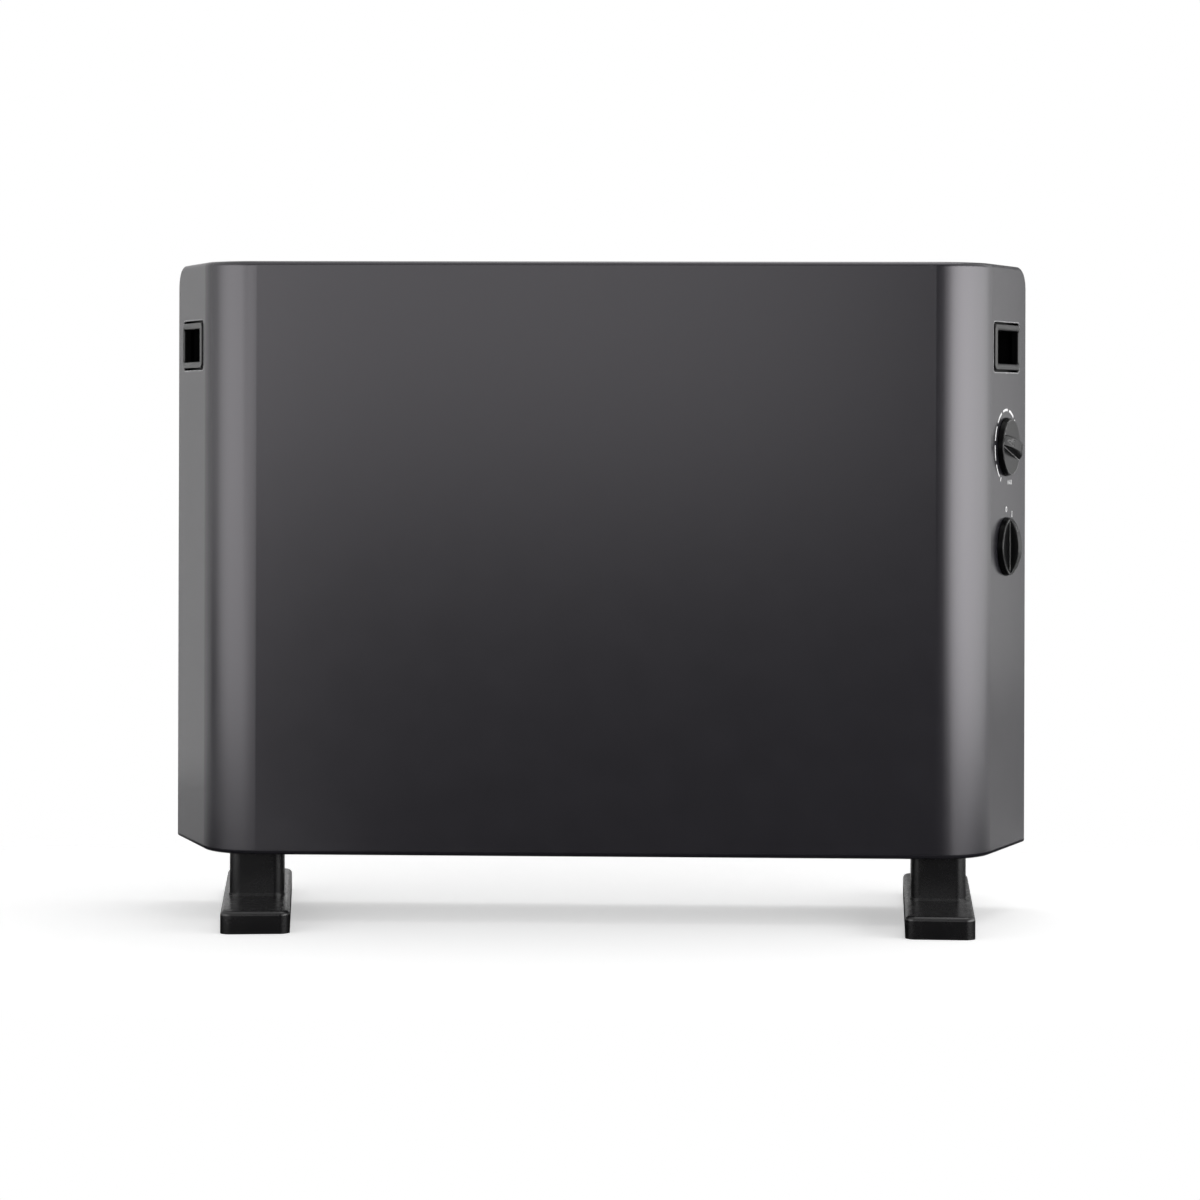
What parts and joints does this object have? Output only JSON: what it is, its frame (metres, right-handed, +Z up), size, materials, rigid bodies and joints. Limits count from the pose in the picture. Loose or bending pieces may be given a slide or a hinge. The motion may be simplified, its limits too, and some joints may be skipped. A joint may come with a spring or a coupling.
{
  "type": "convector heater",
  "caption": "Free-standing convector heater with a wrapped sheet-steel body, flared sides with hand grips, a thermostat knob and a power selector, on moulded feet.",
  "frame": {"origin": "on the floor, under the middle of the body and of the feet", "axes": "+Z up, +Y from the front of the heater to its back, +X towards the side with the controls"},
  "size_m": [0.595, 0.2224, 0.447],
  "materials": {
    "shell_paint": "satin anthracite powder coat",
    "cover_paint": "black powder coat",
    "grip_plastic": "fine grained moulded plastic",
    "knob_plastic": "satin moulded plastic",
    "foot_plastic": "grained moulded plastic",
    "zinc_sheet": "zinc coated sheet",
    "screw_steel": "blackened steel",
    "shaft_steel": "turned steel",
    "nut_brass": "turned brass",
    "fin_aluminium": "cast, unpainted",
    "sheath_steel": "heat tinted steel",
    "bush_ceramic": "unglazed ceramic",
    "case_plastic": "moulded thermoset",
    "inlet_rubber": "moulded rubber",
    "wire_silicone": "silicone insulation"
  },
  "bodies": {
    "heater": {"front_shell": "shell_paint", "rear_cover": "cover_paint", "bottom_plate": "cover_paint", "grip_left": "grip_plastic", "grip_right": "grip_plastic", "thermostat_body": "case_plastic", "selector_body": "case_plastic", "control_nuts": "nut_brass", "control_bracket": "zinc_sheet", "control_baffle": "zinc_sheet", "element_bracket": "zinc_sheet", "heating_element": "fin_aluminium", "heater_rods": "sheath_steel", "element_bushes": "bush_ceramic", "element_link": "nut_brass", "thermal_cutout": "case_plastic", "terminal_block": "case_plastic", "cord_bushing": "inlet_rubber", "baffle_grommet": "inlet_rubber", "wiring": "wire_silicone", "foot_left": "foot_plastic", "foot_right": "foot_plastic", "foot_screws": "screw_steel", "cover_screws": "screw_steel", "bracket_screws": "screw_steel"},
    "thermostat_dial": {"thermostat_knob": "knob_plastic", "thermostat_shaft": "shaft_steel"},
    "selector_dial": {"selector_knob": "knob_plastic", "selector_shaft": "shaft_steel"}
  },
  "joints": [
    {"name": "thermostat_turn", "type": "hinge", "parent": "heater", "child": "thermostat_dial", "pos_m": [0.28123, 0.00714, 0.322], "axis": [-0.9272, 0.3746, 0], "range_deg": [-76, 224]},
    {"name": "selector_turn", "type": "hinge", "parent": "heater", "child": "selector_dial", "pos_m": [0.28123, 0.00714, 0.2535], "axis": [-0.9272, 0.3746, 0], "range_deg": [0, 60]}
  ]
}
